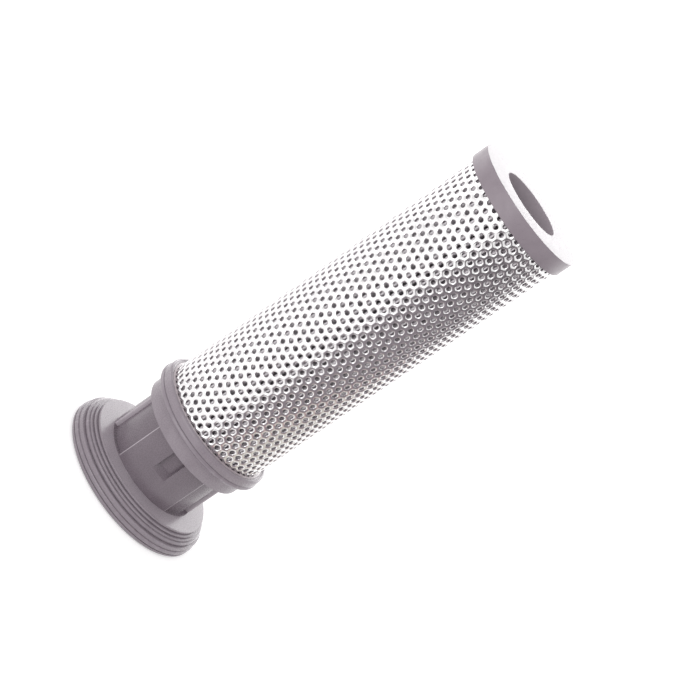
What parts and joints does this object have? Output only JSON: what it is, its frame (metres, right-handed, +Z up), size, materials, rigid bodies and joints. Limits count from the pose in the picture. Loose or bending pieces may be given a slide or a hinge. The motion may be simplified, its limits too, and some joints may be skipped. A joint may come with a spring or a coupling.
{
  "type": "hydraulic filter element",
  "caption": "Cylindrical hydraulic filter element: perforated steel tube over a pleated pack, open plastic end cap, and a plastic base with a recessed neck and a stepped, sealed flange.",
  "frame": {"origin": "middle of the resting face under the base flange", "axes": "+Z up along the filter's axis, towards the open end cap; -Y is the side with the narrow slot that the picture shows"},
  "size_m": [0.1012, 0.1012, 0.2754],
  "materials": {
    "base_plastic": "satin",
    "cap_plastic": "satin",
    "core_plastic": "satin",
    "seal_rubber": "satin",
    "tube_steel": "bright",
    "filter_media": "matte",
    "glue": "satin"
  },
  "bodies": {
    "root": {"base_moulding": "base_plastic", "flange_seal_lower": "seal_rubber", "flange_seal_upper": "seal_rubber", "collar_seal": "seal_rubber", "outer_tube": "tube_steel", "filter_pleats": "filter_media", "core_tube": "core_plastic", "glue_lower": "glue", "glue_upper": "glue", "end_cap": "cap_plastic", "bore_seal": "seal_rubber"}
  },
  "joints": []
}
